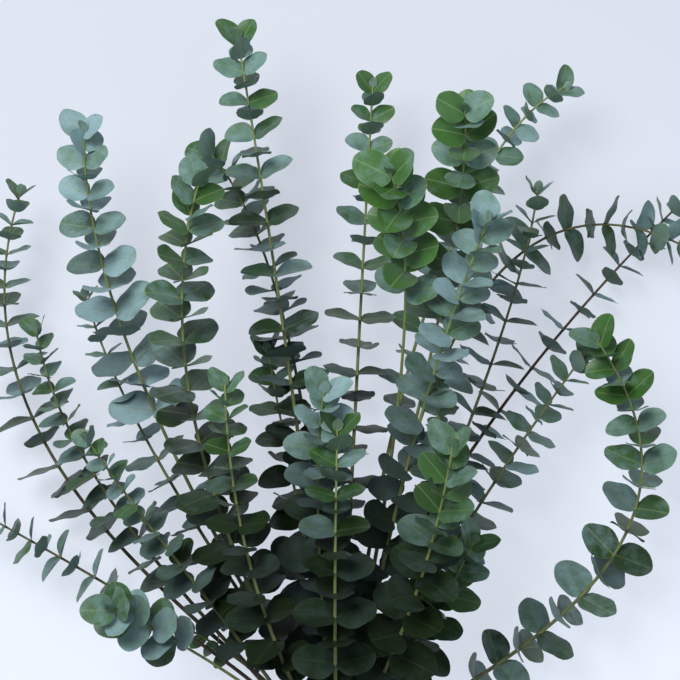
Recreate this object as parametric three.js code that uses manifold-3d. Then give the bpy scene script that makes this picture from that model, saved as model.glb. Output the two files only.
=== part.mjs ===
// A bunch of cut baby-blue eucalyptus branches, held by a twine tie and lying on its side.
// Millimetres, +Z up. The stems run along +Y, with their cut ends at the -Y end, and the
// branches fan out from the tie to both sides and upwards. The lowest leaves touch z = 0.

import * as THREE from 'three';
import { mergeVertices } from 'three/addons/utils/BufferGeometryUtils.js';
import Module from 'manifold-3d';

const solids = await Module();
solids.setup();

// ---- Driving sizes, mm -------------------------------------------------------------------

const STEM_BASE_RADIUS = 2.3;
const STEM_TIP_RADIUS = 0.8;
const CUT_LENGTH = 95; // from the tie's middle to the mean cut end
const CUT_SPREAD = 9; // how much longer or shorter one stem is cut than the next
const LEAF_THICKNESS = 1.4; // at its middle; it thins to nothing at the rim
const CLEARANCE = 0.3; // kept between two branches

const TIE_HALF_LENGTH = 8;
const TIE_THICKNESS = 2.6;
const TIE_SIDES = 18;
const STEMS_START_BENDING = TIE_HALF_LENGTH + 1; // y

// The stems lie side by side in the tie, on three rings round the middle of the bundle.
const STEM_RINGS = [
  { radius: 3.4, stems: 3, start: 180 },
  { radius: 9.2, stems: 9, start: 0 },
  { radius: 15.0, stems: 16, start: 0 },
];
const BUNDLE_RADIUS = STEM_RINGS[2].radius + STEM_BASE_RADIUS;
const TIE_INNER_RADIUS = (BUNDLE_RADIUS + CLEARANCE) / Math.cos(Math.PI / TIE_SIDES);
const TIE_OUTER_RADIUS = TIE_INNER_RADIUS + TIE_THICKNESS;
const BUNDLE_HEIGHT = TIE_OUTER_RADIUS; // the tie rests on the surface

// Leaves grow in opposite pairs, each pair turned a quarter turn from the last.
const TOP_PAIR_TO_TIP = 4;
const PAIR_GAP_AT_TIP = 11;
const PAIR_GAP = 22;
const YOUNG_SHOOT = 190; // leaves and gaps grow to full size over this length from the tip
const LEAF_RISE = 13; // degrees that a full-grown leaf leans towards the tip
const TIP_LEAF_RISE = 42; // further degrees that the topmost leaf folds up
const TIP_FOLD_LENGTH = 26;
const LEAF_WIDTH_SHARE = 1.02; // width of a full-grown leaf, as a share of its length
const YOUNG_WIDTH_SHARE = 0.86; // width of the topmost leaf, as a share of a full-grown one's
const SETTLING_TURNS = 12;
const PAIRS_PER_SOLID_PAIR = 2; // one pair in two is a solid here; the rest are finish only

// The corners of a six-sided leaf as shares of its width and length, from the stem's middle
const LEAF_SIDES = 6;
const LEAF_CORNERS = [[0, 0], [0.5, 0.25], [0.5, 0.75], [0, 1], [-0.5, 0.75], [-0.5, 0.25]];
const HEXAGON_ACROSS_FLATS = Math.cos(Math.PI / LEAF_SIDES);

const STEM_SIDES = 5;
const CURVE_STEPS = 12;

// Each branch leaves its place in the bundle and curves through two control points to its tip.
// leaf: length of a full leaf. top: the topmost leaf's length as a share of that. bare: stem
// above the tie with no leaves. turn: degrees of the top pair round the stem. open: how far the
// leaves at the tip, and those at the base, turn their faces up. tone: foliage colour.
const BRANCHES = [
  { ring: 0, place: 0, rise: [-6, 110, 32], swing: [-45, 400, 80], tip: [-77, 592, 112],
    leaf: 29, top: 0.8, bare: 250, turn: 0, open: [1.3, 0.25], tone: 'green' },
  { ring: 1, place: 5, rise: [-18, 90, 30], swing: [-200, 320, 62], tip: [-196, 520, 118],
    leaf: 36, top: 0.65, bare: 310, turn: 20, open: [1.4, 0.7], tone: 'blue' },
  { ring: 1, place: 4, rise: [-16, 75, 38], swing: [-165, 280, 110], tip: [-104, 478, 158],
    leaf: 33, top: 0.8, bare: 120, turn: 50, open: [0.8, 0.35], tone: 'green' },
  { ring: 2, place: 12, rise: [-6, 110, 12], swing: [-18, 415, 28], tip: [-103, 510, 52],
    leaf: 30, top: 0.9, bare: 260, turn: 45, open: [0.4, 0.2], tone: 'sage' },
  { ring: 2, place: 11, rise: [-14, 85, 12], swing: [-338, 225, 30], tip: [-254, 476, 58],
    leaf: 31, top: 0.6, bare: 260, turn: 0, open: [0.2, 0.15], tone: 'sage' },
  { ring: 2, place: 8, rise: [-28, 75, 28], swing: [-212, 205, 60], tip: [-236, 366, 92],
    leaf: 31, top: 0.6, bare: 200, turn: 30, open: [0.3, 0.15], tone: 'green' },
  { ring: 1, place: 6, rise: [-14, 80, 20], swing: [-165, 250, 40], tip: [-202, 394, 50],
    leaf: 29, top: 0.5, bare: 130, turn: 10, open: [0.3, 0.15], tone: 'sage' },
  { ring: 2, place: 7, rise: [-26, 62, 36], swing: [-128, 180, 92], tip: [-192, 282, 122],
    leaf: 28, top: 0.6, bare: 130, turn: 40, open: [0.4, 0.3], tone: 'sage' },
  { ring: 2, place: 9, rise: [-28, 72, 25], swing: [-180, 160, 46], tip: [-289, 222, 54],
    leaf: 28, top: 0.7, bare: 230, turn: 0, open: [0.3, 0.15], tone: 'sage' },
  { ring: 2, place: 6, rise: [-20, 55, 42], swing: [-125, 120, 66], tip: [-170, 156, 150],
    leaf: 33, top: 0.85, bare: 170, turn: 45, open: [0.9, 0.6], tone: 'blue' },
  { ring: 2, place: 10, rise: [-26, 62, 16], swing: [-85, 105, 22], tip: [-130, 128, 30],
    leaf: 25, top: 0.6, bare: 60, turn: 0, open: [0.5, 0.4], tone: 'green' },
  { ring: 0, place: 1, rise: [4, 110, 28], swing: [18, 380, 44], tip: [28, 560, 72],
    leaf: 27, top: 0.7, bare: 120, turn: 0, open: [1.2, 0.2], tone: 'green' },
  { ring: 1, place: 2, rise: [8, 90, 50], swing: [80, 385, 112], tip: [38, 478, 232],
    leaf: 29, top: 1.0, bare: 400, turn: 30, open: [2.2, 0.3], tone: 'green' },
  { ring: 0, place: 2, rise: [10, 110, 42], swing: [108, 430, 70], tip: [92, 524, 222],
    leaf: 28, top: 0.95, bare: 370, turn: 0, open: [2.2, 0.3], tone: 'green' },
  { ring: 1, place: 1, rise: [14, 75, 44], swing: [48, 290, 150], tip: [110, 446, 200],
    leaf: 30, top: 0.85, bare: 150, turn: 45, open: [1.0, 0.4], tone: 'blue' },
  { ring: 2, place: 13, rise: [8, 110, 14], swing: [60, 500, 36], tip: [180, 560, 66],
    leaf: 25, top: 0.8, bare: 290, turn: 0, open: [1.1, 0.6], tone: 'green' },
  { ring: 1, place: 8, rise: [13, 95, 26], swing: [140, 330, 50], tip: [160, 478, 60],
    leaf: 30, top: 0.6, bare: 220, turn: 0, open: [0.15, 0.1], tone: 'sage' },
  { ring: 2, place: 15, rise: [24, 90, 16], swing: [60, 560, 24], tip: [288, 430, 46],
    leaf: 30, top: 0.75, bare: 300, turn: 0, open: [0.6, 0.4], tone: 'sage' },
  { ring: 2, place: 14, rise: [16, 150, 12], swing: [122, 315, 20], tip: [283, 474, 28],
    leaf: 25, top: 0.8, bare: 200, turn: 0, open: [0.2, 0.12], tone: 'sage' },
  { ring: 2, place: 0, rise: [45, 68, 24], swing: [344, 160, 62], tip: [203, 358, 98],
    leaf: 31, top: 0.8, bare: 115, turn: 20, open: [0.9, 0.8], tone: 'green' },
  { ring: 2, place: 2, rise: [20, 58, 44], swing: [84, 172, 116], tip: [76, 328, 146],
    leaf: 29, top: 0.6, bare: 80, turn: 0, open: [0.4, 0.3], tone: 'sage' },
  { ring: 1, place: 0, rise: [18, 80, 24], swing: [118, 240, 58], tip: [196, 348, 72],
    leaf: 33, top: 0.6, bare: 150, turn: 30, open: [0.5, 0.2], tone: 'blue' },
  { ring: 2, place: 4, rise: [0, 40, 88], swing: [-4, 120, 175], tip: [0, 292, 172],
    leaf: 32, top: 0.7, bare: 90, turn: 0, open: [0.5, 0.25], tone: 'sage' },
  { ring: 2, place: 5, rise: [-9, 50, 72], swing: [-80, 150, 160], tip: [-84, 325, 165],
    leaf: 29, top: 0.7, bare: 70, turn: 30, open: [0.6, 0.3], tone: 'green' },
  { ring: 1, place: 3, rise: [-4, 80, 42], swing: [-24, 230, 130], tip: [-10, 320, 170],
    leaf: 33, top: 0.75, bare: 90, turn: 0, open: [0.7, 0.4], tone: 'blue' },
  { ring: 2, place: 3, rise: [9, 55, 50], swing: [62, 130, 165], tip: [84, 280, 200],
    leaf: 35, top: 0.75, bare: 60, turn: 30, open: [0.7, 0.5], tone: 'green' },
  { ring: 2, place: 1, rise: [26, 52, 32], swing: [64, 110, 66], tip: [106, 200, 96],
    leaf: 34, top: 0.75, bare: 50, turn: 10, open: [0.6, 0.5], tone: 'green' },
  { ring: 1, place: 7, rise: [-3, 100, 22], swing: [-40, 250, 26], tip: [-56, 350, 40],
    leaf: 33, top: 0.7, bare: 80, turn: 20, open: [0.6, 0.6], tone: 'green' },
];

// ---- Materials ----------------------------------------------------------------------------

const foliage = {
  green: new THREE.MeshStandardMaterial({ color: '#3c5a3a', roughness: 0.6, metalness: 0 }),
  blue: new THREE.MeshStandardMaterial({ color: '#5f7f86', roughness: 0.65, metalness: 0 }),
  sage: new THREE.MeshStandardMaterial({ color: '#4d6557', roughness: 0.65, metalness: 0 }),
};
const twine = new THREE.MeshStandardMaterial({ color: '#b59a6c', roughness: 0.9, metalness: 0 });

// ---- Growth: where stems and leaves go ----------------------------------------------------

const UP = new THREE.Vector3(0, 0, 1);
const radians = THREE.MathUtils.degToRad;

// A repeatable number from -1 to 1 that differs for each branch and each use.
function vary(branch, use) {
  const wave = Math.sin(branch * 12.9898 + use * 78.233) * 43758.5453;
  return 2 * (wave - Math.floor(wave)) - 1;
}

function placeInBundle({ ring, place }) {
  const { radius, stems, start } = STEM_RINGS[ring];
  const angle = radians(start + (360 * place) / stems);
  return [radius * Math.cos(angle), BUNDLE_HEIGHT + radius * Math.sin(angle)];
}

// The stem's middle line: straight from the cut end through the tie, then one smooth curve.
function stemPath(branch, number) {
  const [x, z] = placeInBundle(branch);
  const cutEnd = new THREE.Vector3(x, -CUT_LENGTH + CUT_SPREAD * vary(number, 1), z);
  const bend = new THREE.Vector3(x, STEMS_START_BENDING, z);
  const path = new THREE.CurvePath();
  path.add(new THREE.LineCurve3(cutEnd, bend));
  path.add(new THREE.CubicBezierCurve3(
    bend,
    new THREE.Vector3(...branch.rise),
    new THREE.Vector3(...branch.swing),
    new THREE.Vector3(...branch.tip),
  ));
  return path;
}

// Points along the leafy curve, each with its distance from where the stem starts to bend.
function measuredCurve(path) {
  const curve = path.curves[1];
  const stations = [];
  let travelled = 0;
  for (let i = 0; i <= CURVE_STEPS; i += 1) {
    const point = curve.getPoint(i / CURVE_STEPS);
    if (i > 0) travelled += point.distanceTo(stations[i - 1].point);
    stations.push({ point, travelled });
  }
  return stations;
}

function pointAt(stations, distance) {
  let i = 1;
  while (i < stations.length - 1 && stations[i].travelled < distance) i += 1;
  const [a, b] = [stations[i - 1], stations[i]];
  const share = (distance - a.travelled) / (b.travelled - a.travelled);
  const along = b.point.clone().sub(a.point).normalize();
  return { point: a.point.clone().lerp(b.point, share), along };
}

function sidewaysFrom(along) {
  const side = along.clone().cross(UP).normalize();
  return { side, upper: side.clone().cross(along) };
}

// The leaf's own axes: across its width, from its base to its tip, and out of its upper face.
function leafAxes(along, angle, rise, open) {
  const { side, upper } = sidewaysFrom(along);
  const outward = side.multiplyScalar(Math.cos(angle)).addScaledVector(upper, Math.sin(angle));
  const reach = outward.clone().multiplyScalar(Math.cos(rise)).addScaledVector(along, Math.sin(rise));
  const face = along.clone().multiplyScalar(Math.cos(rise)).addScaledVector(outward, -Math.sin(rise));
  const lightward = UP.clone().addScaledVector(reach, -UP.dot(reach));
  face.addScaledVector(lightward, open).normalize();
  return { across: reach.clone().cross(face), reach, face };
}

function lowestPoint(seat) {
  const heights = LEAF_CORNERS.map(([u, v]) => (
    seat.point.z + u * seat.width * seat.axes.across.z + v * seat.length * seat.axes.reach.z
  ));
  return Math.min(...heights);
}

// A leaf that would reach below the surface is turned round the stem until it only touches it.
function settle(seat, along, rise, open) {
  const { angle } = seat;
  const level = Math.cos(angle) >= 0 ? 0 : Math.PI;
  const goal = Math.sin(angle) < 0 && level === 0 ? 2 * Math.PI : level;
  for (let turn = 1; turn <= SETTLING_TURNS && lowestPoint(seat) < 0; turn += 1) {
    const turned = THREE.MathUtils.lerp(angle, goal, turn / SETTLING_TURNS);
    seat.axes = leafAxes(along, turned, rise, open);
  }
  return seat;
}

// Every leaf of one branch, from the tip down to the bare stem.
function leafSeats(branch, number, stations) {
  const length = stations[stations.length - 1].travelled;
  const seats = [];
  let fromTip = TOP_PAIR_TO_TIP;
  for (let pair = 0; length - fromTip > branch.bare; pair += 1) {
    const grown = THREE.MathUtils.smoothstep(fromTip, 0, YOUNG_SHOOT);
    const { point, along } = pointAt(stations, length - fromTip);
    for (const half of [0, 1]) {
      const use = 10 * pair + 5 * half;
      const angle = radians((branch.turn + 90 * pair + 180 * half + 14 * vary(number, use + 2)) % 360);
      const fold = TIP_LEAF_RISE * Math.exp(-fromTip / TIP_FOLD_LENGTH);
      const rise = radians(LEAF_RISE + fold + 9 * vary(number, use + 3));
      const openness = THREE.MathUtils.lerp(...branch.open, grown);
      const open = openness * (1 + 0.5 * vary(number, use + 4));
      const size = branch.leaf * THREE.MathUtils.lerp(branch.top, 1, grown);
      const leafLength = size * (1 + 0.08 * vary(number, use + 5));
      const rounding = THREE.MathUtils.lerp(YOUNG_WIDTH_SHARE, 1, grown);
      const leafWidth = leafLength * LEAF_WIDTH_SHARE * rounding;
      const seat = { pair, point, angle, length: leafLength, width: leafWidth };
      seat.axes = leafAxes(along, angle, rise, open);
      seats.push(settle(seat, along, rise, open));
    }
    fromTip += PAIR_GAP_AT_TIP + (PAIR_GAP - PAIR_GAP_AT_TIP) * grown;
  }
  return seats;
}

// ---- Solids -------------------------------------------------------------------------------

function toSolid(geometry) {
  const bare = geometry.clone();
  bare.deleteAttribute('normal');
  bare.deleteAttribute('uv');
  const merged = mergeVertices(bare, 1e-4);
  return new solids.Manifold(new solids.Mesh({
    numProp: 3,
    vertProperties: new Float32Array(merged.attributes.position.array),
    triVerts: new Uint32Array(merged.index.array),
  }));
}

function toGeometry(solid) {
  const mesh = solid.getMesh();
  const geometry = new THREE.BufferGeometry();
  geometry.setAttribute('position', new THREE.BufferAttribute(mesh.vertProperties, 3));
  geometry.setIndex(new THREE.BufferAttribute(mesh.triVerts, 1));
  geometry.computeVertexNormals();
  return geometry;
}

// A tapered rod bent along the stem's path: its first step is the straight stretch.
function stemGeometry(path) {
  const steps = CURVE_STEPS + 1;
  const rod = new THREE.CylinderGeometry(STEM_TIP_RADIUS, STEM_BASE_RADIUS, 1, STEM_SIDES, steps);
  const vertices = rod.attributes.position;
  const [straight, curve] = path.curves;
  for (let i = 0; i < vertices.count; i += 1) {
    const step = Math.round((vertices.getY(i) + 0.5) * steps);
    const stretch = step === 0 ? straight : curve;
    const share = Math.max(0, step - 1) / CURVE_STEPS;
    const { side, upper } = sidewaysFrom(stretch.getTangent(share));
    const vertex = stretch.getPoint(share);
    vertex.addScaledVector(side, vertices.getX(i)).addScaledVector(upper, vertices.getZ(i));
    vertices.setXYZ(i, vertex.x, vertex.y, vertex.z);
  }
  return rod;
}

// A flat six-sided lens with one corner in the stem's middle, grown by margin on every side.
function leafGeometry(seat, margin) {
  const leaf = new THREE.SphereGeometry(0.5, LEAF_SIDES, 2).rotateX(Math.PI / 2).rotateZ(Math.PI / 2);
  leaf.translate(0, 0.5, 0).scale(
    (seat.width + 2 * margin) / HEXAGON_ACROSS_FLATS,
    seat.length + margin,
    LEAF_THICKNESS + 4 * margin,
  );
  const { across, reach, face } = seat.axes;
  const turn = new THREE.Matrix4().makeBasis(across, reach, face);
  return leaf.applyMatrix4(turn.setPosition(seat.point));
}

// The tie is one band round the whole bundle.
function tieGeometry() {
  const edge = TIE_THICKNESS / 3;
  const profile = [
    [TIE_INNER_RADIUS, -TIE_HALF_LENGTH + edge],
    [TIE_INNER_RADIUS + edge, -TIE_HALF_LENGTH],
    [TIE_OUTER_RADIUS - edge, -TIE_HALF_LENGTH],
    [TIE_OUTER_RADIUS, -TIE_HALF_LENGTH + edge],
    [TIE_OUTER_RADIUS, TIE_HALF_LENGTH - edge],
    [TIE_OUTER_RADIUS - edge, TIE_HALF_LENGTH],
    [TIE_INNER_RADIUS + edge, TIE_HALF_LENGTH],
    [TIE_INNER_RADIUS, TIE_HALF_LENGTH - edge],
    [TIE_INNER_RADIUS, -TIE_HALF_LENGTH + edge],
  ];
  const band = new THREE.LatheGeometry(profile.map(([r, y]) => new THREE.Vector2(r, y)), TIE_SIDES);
  return band.translate(0, 0, BUNDLE_HEIGHT);
}

// ---- The bunch ----------------------------------------------------------------------------

function boxOf(geometry) {
  geometry.computeBoundingBox();
  return geometry.boundingBox;
}

const placed = []; // every stem and leaf so far, as { number, box, solid }

function keepsClear(number, geometry) {
  const box = boxOf(geometry);
  const near = placed.filter((other) => other.number !== number && other.box.intersectsBox(box));
  if (near.length === 0) return true;
  const solid = toSolid(geometry);
  return near.every((other) => other.solid.intersect(solid).isEmpty());
}

function addPiece(number, geometry) {
  const solid = toSolid(geometry);
  placed.push({ number, box: boxOf(geometry), solid });
  return solid;
}

const bunch = new THREE.Group();

const growing = BRANCHES.map((branch, index) => {
  const number = index + 1;
  const path = stemPath(branch, number);
  return { branch, number, path, solid: addPiece(number, stemGeometry(path)) };
});

for (const shoot of growing) {
  const { branch, number, path } = shoot;
  for (const seat of leafSeats(branch, number, measuredCurve(path))) {
    if (seat.pair % PAIRS_PER_SOLID_PAIR !== 0) continue;
    if (!keepsClear(number, leafGeometry(seat, CLEARANCE))) continue;
    shoot.solid = shoot.solid.add(addPiece(number, leafGeometry(seat, 0)));
  }
  const mesh = new THREE.Mesh(toGeometry(shoot.solid), foliage[branch.tone]);
  mesh.name = `branch_${String(number).padStart(2, '0')}`;
  bunch.add(mesh);
}

const tie = new THREE.Mesh(tieGeometry(), twine);
tie.name = 'twine_tie';
bunch.add(tie);

// The origin is the middle of the bunch's footprint, on the surface that it lies on.
const whole = new THREE.Box3().setFromObject(bunch);
const middle = whole.getCenter(new THREE.Vector3());
bunch.position.set(-middle.x, -middle.y, -whole.min.z);

export default bunch;
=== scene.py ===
"""The looks of a tied bunch of eucalyptus branches, built round its fixed frame.

Metres, +Z up. The bunch lies on its side on a pale floor, and the camera looks straight down.
"""

import math

import bpy
from bpy.props import FloatProperty, FloatVectorProperty, IntProperty, PointerProperty
from bpy.types import Operator, Panel, PropertyGroup
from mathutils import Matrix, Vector


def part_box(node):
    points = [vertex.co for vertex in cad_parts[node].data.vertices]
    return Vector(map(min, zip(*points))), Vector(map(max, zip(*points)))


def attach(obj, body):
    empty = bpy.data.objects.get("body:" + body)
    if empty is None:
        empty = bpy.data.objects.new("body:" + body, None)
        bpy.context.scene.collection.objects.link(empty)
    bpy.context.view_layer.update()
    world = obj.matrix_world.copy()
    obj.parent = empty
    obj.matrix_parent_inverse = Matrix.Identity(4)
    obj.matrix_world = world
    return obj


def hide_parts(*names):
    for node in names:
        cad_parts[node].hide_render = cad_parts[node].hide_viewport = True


bl_info = {
    "name": "Tied eucalyptus branches",
    "version": (1, 0, 0),
    "blender": (4, 5, 0),
    "location": "View3D > Sidebar > Eucalyptus",
    "description": "Grows leafy eucalyptus branches, ties them with twine and lights them",
    "category": "Add Mesh",
}

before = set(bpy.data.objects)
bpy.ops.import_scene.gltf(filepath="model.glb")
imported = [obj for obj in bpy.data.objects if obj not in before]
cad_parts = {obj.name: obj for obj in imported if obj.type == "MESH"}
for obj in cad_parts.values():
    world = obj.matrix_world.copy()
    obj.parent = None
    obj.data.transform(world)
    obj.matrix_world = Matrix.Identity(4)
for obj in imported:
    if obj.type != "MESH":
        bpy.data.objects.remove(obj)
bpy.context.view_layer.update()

MM = 0.001
UP = Vector((0, 0, 1))

# ---- Where things are ----

TIE_LOW, TIE_HIGH = (Vector(corner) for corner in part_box("twine_tie"))
TIE_MIDDLE = (TIE_LOW + TIE_HIGH) / 2
TIE_LENGTH = TIE_HIGH.y - TIE_LOW.y
BENDING_STARTS = TIE_LENGTH / 2 + 1 * MM  # stems run straight through the tie

# The stems lie side by side in the tie, on three rings round the middle of the bundle.
STEM_RINGS = (
    dict(radius=3.4 * MM, stems=3, start=180),
    dict(radius=9.2 * MM, stems=9, start=0),
    dict(radius=15.0 * MM, stems=16, start=0),
)
CUT_LENGTH = 95 * MM  # from the tie's middle to the cut ends
CUT_SPREAD = 9 * MM

# Each branch leaves its place in the bundle, bends towards its rise and its swing, and ends at
# its tip. All three are in millimetres from the tie's middle and from the floor. leaf: length
# of a full leaf. top: topmost leaf's length as a share of that. bare: stem above the tie with
# no leaves. turn: degrees of the top pair round the stem. open: how far the leaves at the tip,
# and those at the base, turn their faces up. tone: a word for the look of their foliage. bloom:
# how blue the wax makes them. vivid: how green they are. wood: how brown the stem is.
BRANCHES = (
    dict(ring=0, place=0, rise=(-6, 110, 32), swing=(-45, 400, 80), tip=(-77, 592, 112), leaf=29,
         top=0.8, bare=250, turn=0, open=(1.3, 0.25), tone="green", bloom=0.3, vivid=0.3, wood=0.2),
    dict(ring=1, place=5, rise=(-18, 90, 30), swing=(-200, 320, 62), tip=(-196, 520, 118), leaf=36,
         top=0.65, bare=310, turn=20, open=(1.4, 0.7), tone="blue", bloom=0.75, vivid=0.2, wood=0.2),
    dict(ring=1, place=4, rise=(-16, 75, 38), swing=(-165, 280, 110), tip=(-104, 478, 158), leaf=33,
         top=0.8, bare=120, turn=50, open=(0.8, 0.35), tone="green", bloom=-0.1, vivid=0.1, wood=0.2),
    dict(ring=2, place=12, rise=(-6, 110, 12), swing=(-18, 415, 28), tip=(-103, 510, 52), leaf=30,
         top=0.9, bare=260, turn=45, open=(0.4, 0.2), tone="sage", bloom=0.35, vivid=0.1, wood=0.4),
    dict(ring=2, place=11, rise=(-14, 85, 12), swing=(-338, 225, 30), tip=(-254, 476, 58), leaf=31,
         top=0.6, bare=260, turn=0, open=(0.2, 0.15), tone="sage", bloom=0.3, vivid=0.1, wood=0.5),
    dict(ring=2, place=8, rise=(-28, 75, 28), swing=(-212, 205, 60), tip=(-236, 366, 92), leaf=31,
         top=0.6, bare=200, turn=30, open=(0.3, 0.15), tone="green", bloom=0.2, vivid=0.2, wood=0.4),
    dict(ring=1, place=6, rise=(-14, 80, 20), swing=(-165, 250, 40), tip=(-202, 394, 50), leaf=29,
         top=0.5, bare=130, turn=10, open=(0.3, 0.15), tone="sage", bloom=0.45, vivid=0.1, wood=0.3),
    dict(ring=2, place=7, rise=(-26, 62, 36), swing=(-128, 180, 92), tip=(-192, 282, 122), leaf=28,
         top=0.6, bare=130, turn=40, open=(0.4, 0.3), tone="sage", bloom=0.35, vivid=0.1, wood=0.3),
    dict(ring=2, place=9, rise=(-28, 72, 25), swing=(-180, 160, 46), tip=(-289, 222, 54), leaf=28,
         top=0.7, bare=230, turn=0, open=(0.3, 0.15), tone="sage", bloom=0.45, vivid=0.2, wood=0.6),
    dict(ring=2, place=6, rise=(-20, 55, 42), swing=(-125, 120, 66), tip=(-170, 156, 150), leaf=33,
         top=0.85, bare=170, turn=45, open=(0.9, 0.6), tone="blue", bloom=0.45, vivid=0.2, wood=0.2),
    dict(ring=2, place=10, rise=(-26, 62, 16), swing=(-85, 105, 22), tip=(-130, 128, 30), leaf=25,
         top=0.6, bare=60, turn=0, open=(0.5, 0.4), tone="green", bloom=0.2, vivid=0.2, wood=0.3),
    dict(ring=0, place=1, rise=(4, 110, 28), swing=(18, 380, 44), tip=(28, 560, 72), leaf=27,
         top=0.7, bare=120, turn=0, open=(1.2, 0.2), tone="green", bloom=0.2, vivid=0.35, wood=0.2),
    dict(ring=1, place=2, rise=(8, 90, 50), swing=(80, 385, 112), tip=(38, 478, 232), leaf=29,
         top=1.0, bare=400, turn=30, open=(2.2, 0.3), tone="green", bloom=0.0, vivid=0.75, wood=0.1),
    dict(ring=0, place=2, rise=(10, 110, 42), swing=(108, 430, 70), tip=(92, 524, 222), leaf=28,
         top=0.95, bare=370, turn=0, open=(2.2, 0.3), tone="green", bloom=0.02, vivid=0.6, wood=0.1),
    dict(ring=1, place=1, rise=(14, 75, 44), swing=(48, 290, 150), tip=(110, 446, 200), leaf=30,
         top=0.85, bare=150, turn=45, open=(1.0, 0.4), tone="blue", bloom=0.6, vivid=0.4, wood=0.2),
    dict(ring=2, place=13, rise=(8, 110, 14), swing=(60, 500, 36), tip=(180, 560, 66), leaf=25,
         top=0.8, bare=290, turn=0, open=(1.1, 0.6), tone="green", bloom=0.3, vivid=0.35, wood=0.2),
    dict(ring=1, place=8, rise=(13, 95, 26), swing=(140, 330, 50), tip=(160, 478, 60), leaf=30,
         top=0.6, bare=220, turn=0, open=(0.15, 0.1), tone="sage", bloom=0.3, vivid=0.15, wood=0.4),
    dict(ring=2, place=15, rise=(24, 90, 16), swing=(60, 560, 24), tip=(288, 430, 46), leaf=30,
         top=0.75, bare=300, turn=0, open=(0.6, 0.4), tone="sage", bloom=0.3, vivid=0.1, wood=0.6),
    dict(ring=2, place=14, rise=(16, 150, 12), swing=(122, 315, 20), tip=(283, 474, 28), leaf=25,
         top=0.8, bare=200, turn=0, open=(0.2, 0.12), tone="sage", bloom=0.5, vivid=0.1, wood=1.0),
    dict(ring=2, place=0, rise=(45, 68, 24), swing=(344, 160, 62), tip=(203, 358, 98), leaf=31,
         top=0.8, bare=115, turn=20, open=(0.9, 0.8), tone="green", bloom=0.22, vivid=0.55, wood=0.2),
    dict(ring=2, place=2, rise=(20, 58, 44), swing=(84, 172, 116), tip=(76, 328, 146), leaf=29,
         top=0.6, bare=80, turn=0, open=(0.4, 0.3), tone="sage", bloom=0.15, vivid=0.2, wood=0.3),
    dict(ring=1, place=0, rise=(18, 80, 24), swing=(118, 240, 58), tip=(196, 348, 72), leaf=33,
         top=0.6, bare=150, turn=30, open=(0.5, 0.2), tone="blue", bloom=0.45, vivid=0.2, wood=0.4),
    dict(ring=2, place=4, rise=(0, 40, 88), swing=(-4, 120, 175), tip=(0, 292, 172), leaf=32,
         top=0.7, bare=90, turn=0, open=(0.5, 0.25), tone="sage", bloom=0.2, vivid=0.1, wood=0.1),
    dict(ring=2, place=5, rise=(-9, 50, 72), swing=(-80, 150, 160), tip=(-84, 325, 165), leaf=29,
         top=0.7, bare=70, turn=30, open=(0.6, 0.3), tone="green", bloom=0.05, vivid=0.15, wood=0.2),
    dict(ring=1, place=3, rise=(-4, 80, 42), swing=(-24, 230, 130), tip=(-10, 320, 170), leaf=33,
         top=0.75, bare=90, turn=0, open=(0.7, 0.4), tone="blue", bloom=0.7, vivid=0.2, wood=0.2),
    dict(ring=2, place=3, rise=(9, 55, 50), swing=(62, 130, 165), tip=(84, 280, 200), leaf=35,
         top=0.75, bare=60, turn=30, open=(0.7, 0.5), tone="green", bloom=-0.05, vivid=0.1, wood=0.2),
    dict(ring=2, place=1, rise=(26, 52, 32), swing=(64, 110, 66), tip=(106, 200, 96), leaf=34,
         top=0.75, bare=50, turn=10, open=(0.6, 0.5), tone="green", bloom=0.0, vivid=0.1, wood=0.3),
    dict(ring=1, place=7, rise=(-3, 100, 22), swing=(-40, 250, 26), tip=(-56, 350, 40), leaf=33,
         top=0.7, bare=80, turn=20, open=(0.6, 0.6), tone="green", bloom=0.0, vivid=0.05, wood=0.3),
)

# ---- Sizes and colours that a user would change ----


def linear(hex_colour):
    """Turns an sRGB hex colour into linear red, green, blue and full alpha."""
    channels = [int(hex_colour[i:i + 2], 16) / 255 for i in (1, 3, 5)]
    return [c / 12.92 if c <= 0.04045 else ((c + 0.055) / 1.055) ** 2.4 for c in channels] + [1]


def length(name, description, default):
    return FloatProperty(name=name, description=description, default=default,
                         min=0, precision=5, unit="LENGTH")


def factor(name, description, default):
    return FloatProperty(name=name, description=description, default=default,
                         min=0, subtype="FACTOR")


def colour(name, description, hex_colour):
    return FloatVectorProperty(name=name, description=description, default=linear(hex_colour),
                               size=4, min=0, max=1, subtype="COLOR")


class StemSizes(PropertyGroup):
    """Sizes of the stems"""

    base_radius: length("Base radius", "Radius of a stem at its cut end", 2.3 * MM)
    tip_radius: length("Tip radius", "Radius of a stem under its topmost leaves", 0.75 * MM)
    sides: IntProperty(name="Sides", description="Sides of a stem's section", default=8, min=5)
    swelling: factor("Swelling", "How much thicker a stem is where two leaves grow", 0.3)


class LeafSizes(PropertyGroup):
    """Sizes of the leaves and of the gaps between their pairs"""

    thickness: factor("Thickness", "Thickness of a leaf's middle as a share of its length", 0.016)
    top_pair: length("Top pair", "From the stem's tip to its topmost pair", 4 * MM)
    tip_gap: length("Gap at tip", "Between the two topmost pairs", 11 * MM)
    full_gap: length("Gap", "Between two full-grown pairs", 22 * MM)
    young_shoot: length("Young shoot", "Length over which leaves reach full size", 190 * MM)
    width_share: factor("Width", "Full leaf's width as a share of its length", 1.02)
    young_width: factor("Young width", "Topmost leaf's width as a share of a full leaf's", 0.86)
    rise: FloatProperty(name="Rise", default=math.radians(13), subtype="ANGLE",
                        description="How far a full-grown leaf leans towards the tip")
    tip_rise: FloatProperty(name="Rise at tip", default=math.radians(42), subtype="ANGLE",
                            description="How much further the topmost leaves fold up")


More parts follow.
